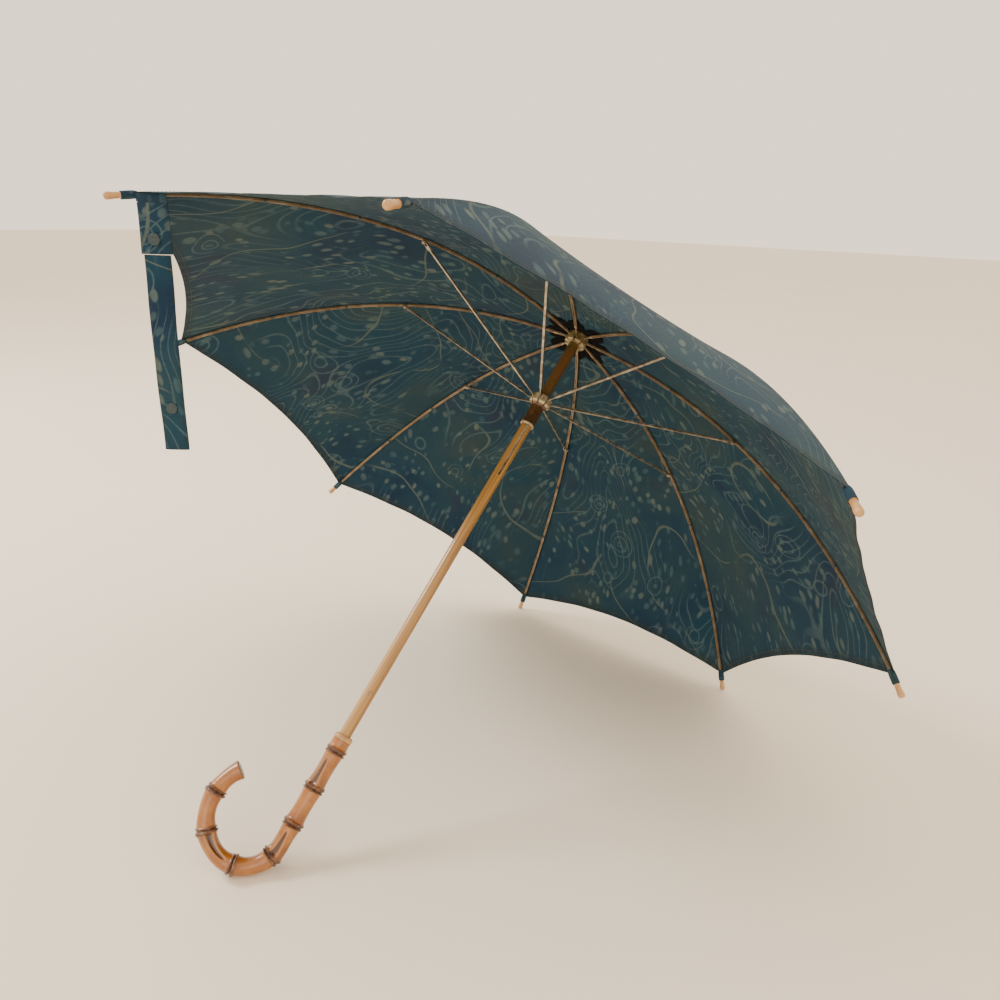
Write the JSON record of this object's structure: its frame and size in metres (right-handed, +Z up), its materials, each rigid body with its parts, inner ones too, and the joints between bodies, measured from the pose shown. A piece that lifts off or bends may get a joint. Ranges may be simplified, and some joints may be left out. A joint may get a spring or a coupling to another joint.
{
  "type": "fabric parasol",
  "caption": "Open fabric parasol with curved metal ribs, sliding runner, straight wooden shaft, bamboo crook handle and a hanging tie strap.",
  "frame": {"origin": "on the floor, under the centre of the open parasol's box as it stands on two rib tips and its crook", "axes": "+Z up; +X the way the shaft points from handle to hub, over the floor; +Y to the left of that"},
  "size_m": [0.6068, 0.7978, 0.5728],
  "materials": {
    "canopy_cloth": "printed woven cloth with a soft sheen",
    "rosette_cloth": "matt black cloth",
    "rib_bronze": "bronze-toned steel",
    "stretcher_steel": "worn plated steel",
    "fittings": "satin aged brass",
    "shaft_wood": "clear varnish",
    "bamboo": "lacquered bamboo",
    "tip_wood": "satin pale wood"
  },
  "bodies": {
    "root": {"shaft": "shaft_wood", "handle": "bamboo", "handle_collar": "tip_wood", "notch": "fittings", "notch_wire": "stretcher_steel", "rosette": "rosette_cloth", "crown_washer": "rosette_cloth", "ferrule": "shaft_wood", "ferrule_cap": "fittings", "stop_pin": "stretcher_steel"},
    "runner": {"runner": "fittings"},
    "upper_catch": {"upper_catch": "stretcher_steel"},
    "rib_1": {"rib_1": "rib_bronze", "canopy_1": "canopy_cloth", "tip_1": "tip_wood", "rivet_1": "stretcher_steel", "strap_tab": "canopy_cloth"},
    "stretcher_1": {"stretcher_1": "stretcher_steel"},
    "rib_2": {"rib_2": "rib_bronze", "canopy_2": "canopy_cloth", "tip_2": "tip_wood", "rivet_2": "stretcher_steel"},
    "stretcher_2": {"stretcher_2": "stretcher_steel"},
    "rib_3": {"rib_3": "rib_bronze", "canopy_3": "canopy_cloth", "tip_3": "tip_wood", "rivet_3": "stretcher_steel"},
    "stretcher_3": {"stretcher_3": "stretcher_steel"},
    "rib_4": {"rib_4": "rib_bronze", "canopy_4": "canopy_cloth", "tip_4": "tip_wood", "rivet_4": "stretcher_steel"},
    "stretcher_4": {"stretcher_4": "stretcher_steel"},
    "rib_5": {"rib_5": "rib_bronze", "canopy_5": "canopy_cloth", "tip_5": "tip_wood", "rivet_5": "stretcher_steel"},
    "stretcher_5": {"stretcher_5": "stretcher_steel"},
    "rib_6": {"rib_6": "rib_bronze", "canopy_6": "canopy_cloth", "tip_6": "tip_wood", "rivet_6": "stretcher_steel"},
    "stretcher_6": {"stretcher_6": "stretcher_steel"},
    "rib_7": {"rib_7": "rib_bronze", "canopy_7": "canopy_cloth", "tip_7": "tip_wood", "rivet_7": "stretcher_steel"},
    "stretcher_7": {"stretcher_7": "stretcher_steel"},
    "rib_8": {"rib_8": "rib_bronze", "canopy_8": "canopy_cloth", "tip_8": "tip_wood", "rivet_8": "stretcher_steel"},
    "stretcher_8": {"stretcher_8": "stretcher_steel"},
    "strap_loop": {"strap_loop": "canopy_cloth", "snap_stud": "stretcher_steel"},
    "strap_tail": {"strap_tail": "canopy_cloth", "snap_socket": "stretcher_steel"}
  },
  "joints": [
    {"name": "runner_slide", "type": "slide", "parent": "root", "child": "runner", "axis": [-0.7131, 0, -0.701], "range_m": [0, 0.28944], "deforming": ["canopy_1", "canopy_2", "canopy_3", "canopy_4", "canopy_5", "canopy_6", "canopy_7", "canopy_8", "upper_catch"]},
    {"name": "rib_1_hinge", "type": "hinge", "parent": "root", "child": "rib_1", "pos_m": [0.16241, 0.00375, 0.43826], "axis": [-0.2683, -0.9239, 0.2729], "range_deg": [0, 62]},
    {"name": "stretcher_1_hinge", "type": "hinge", "parent": "rib_1", "child": "stretcher_1", "pos_m": [0.0093, 0.07627, 0.53325], "axis": [-0.2683, -0.9239, 0.2729], "range_deg": [-124, 0]},
    {"name": "rib_2_hinge", "type": "hinge", "parent": "root", "child": "rib_2", "pos_m": [0.16613, 0.00905, 0.43447], "axis": [-0.6477, -0.3827, 0.6589], "range_deg": [0, 62]},
    {"name": "stretcher_2_hinge", "type": "hinge", "parent": "rib_2", "child": "stretcher_2", "pos_m": [0.08492, 0.18413, 0.45633], "axis": [-0.6477, -0.3827, 0.6589], "range_deg": [-124, 0]},
    {"name": "rib_3_hinge", "type": "hinge", "parent": "root", "child": "rib_3", "pos_m": [0.17139, 0.00905, 0.42912], "axis": [-0.6477, 0.3827, 0.6589], "range_deg": [0, 62]},
    {"name": "stretcher_3_hinge", "type": "hinge", "parent": "rib_3", "child": "stretcher_3", "pos_m": [0.19185, 0.18413, 0.34754], "axis": [-0.6477, 0.3827, 0.6589], "range_deg": [-124, 0]},
    {"name": "rib_4_hinge", "type": "hinge", "parent": "root", "child": "rib_4", "pos_m": [0.17511, 0.00375, 0.42534], "axis": [-0.2683, 0.9239, 0.2729], "range_deg": [0, 62]},
    {"name": "stretcher_4_hinge", "type": "hinge", "parent": "rib_4", "child": "stretcher_4", "pos_m": [0.26746, 0.07627, 0.27062], "axis": [-0.2683, 0.9239, 0.2729], "range_deg": [-124, 0]},
    {"name": "rib_5_hinge", "type": "hinge", "parent": "root", "child": "rib_5", "pos_m": [0.17511, -0.00375, 0.42534], "axis": [0.2683, 0.9239, -0.2729], "range_deg": [0, 62]},
    {"name": "stretcher_5_hinge", "type": "hinge", "parent": "rib_5", "child": "stretcher_5", "pos_m": [0.26746, -0.07627, 0.27062], "axis": [0.2683, 0.9239, -0.2729], "range_deg": [-124, 0]},
    {"name": "rib_6_hinge", "type": "hinge", "parent": "root", "child": "rib_6", "pos_m": [0.17139, -0.00905, 0.42912], "axis": [0.6477, 0.3827, -0.6589], "range_deg": [0, 62]},
    {"name": "stretcher_6_hinge", "type": "hinge", "parent": "rib_6", "child": "stretcher_6", "pos_m": [0.19185, -0.18413, 0.34754], "axis": [0.6477, 0.3827, -0.6589], "range_deg": [-124, 0]},
    {"name": "rib_7_hinge", "type": "hinge", "parent": "root", "child": "rib_7", "pos_m": [0.16613, -0.00905, 0.43447], "axis": [0.6477, -0.3827, -0.6589], "range_deg": [0, 62]},
    {"name": "stretcher_7_hinge", "type": "hinge", "parent": "rib_7", "child": "stretcher_7", "pos_m": [0.08492, -0.18413, 0.45633], "axis": [0.6477, -0.3827, -0.6589], "range_deg": [-124, 0]},
    {"name": "rib_8_hinge", "type": "hinge", "parent": "root", "child": "rib_8", "pos_m": [0.16241, -0.00375, 0.43826], "axis": [0.2683, -0.9239, -0.2729], "range_deg": [0, 62]},
    {"name": "stretcher_8_hinge", "type": "hinge", "parent": "rib_8", "child": "stretcher_8", "pos_m": [0.0093, -0.07627, 0.53325], "axis": [0.2683, -0.9239, -0.2729], "range_deg": [-124, 0]},
    {"name": "upper_catch_press", "type": "hinge", "parent": "root", "child": "upper_catch", "pos_m": [0.03977, -0.00099, 0.30639], "axis": [-0.4957, 0.7071, 0.5043], "range_deg": [0, 2.1], "stiffness_Nm_per_rad": 0.8},
    {"name": "strap_hang", "type": "hinge", "parent": "rib_1", "child": "strap_loop", "pos_m": [-0.23268, 0.14281, 0.56309], "axis": [-0.5641, 0.6877, -0.457], "range_deg": [0, 143.6]},
    {"name": "strap_swing", "type": "hinge", "parent": "strap_loop", "child": "strap_tail", "pos_m": [-0.23176, 0.14359, 0.52249], "axis": [-0.6428, 0.766, 0], "range_deg": [-50, 50]}
  ],
  "couplings": [
    {"joint": "rib_1_hinge", "follows": "runner_slide", "rad_per_m": 3.7386},
    {"joint": "stretcher_1_hinge", "follows": "runner_slide", "rad_per_m": -7.4772},
    {"joint": "rib_2_hinge", "follows": "runner_slide", "rad_per_m": 3.7386},
    {"joint": "stretcher_2_hinge", "follows": "runner_slide", "rad_per_m": -7.4772},
    {"joint": "rib_3_hinge", "follows": "runner_slide", "rad_per_m": 3.7386},
    {"joint": "stretcher_3_hinge", "follows": "runner_slide", "rad_per_m": -7.4772},
    {"joint": "rib_4_hinge", "follows": "runner_slide", "rad_per_m": 3.7386},
    {"joint": "stretcher_4_hinge", "follows": "runner_slide", "rad_per_m": -7.4772},
    {"joint": "rib_5_hinge", "follows": "runner_slide", "rad_per_m": 3.7386},
    {"joint": "stretcher_5_hinge", "follows": "runner_slide", "rad_per_m": -7.4772},
    {"joint": "rib_6_hinge", "follows": "runner_slide", "rad_per_m": 3.7386},
    {"joint": "stretcher_6_hinge", "follows": "runner_slide", "rad_per_m": -7.4772},
    {"joint": "rib_7_hinge", "follows": "runner_slide", "rad_per_m": 3.7386},
    {"joint": "stretcher_7_hinge", "follows": "runner_slide", "rad_per_m": -7.4772},
    {"joint": "rib_8_hinge", "follows": "runner_slide", "rad_per_m": 3.7386},
    {"joint": "stretcher_8_hinge", "follows": "runner_slide", "rad_per_m": -7.4772},
    {"joint": "strap_hang", "follows": "runner_slide", "rad_per_m": 8.6591}
  ]
}
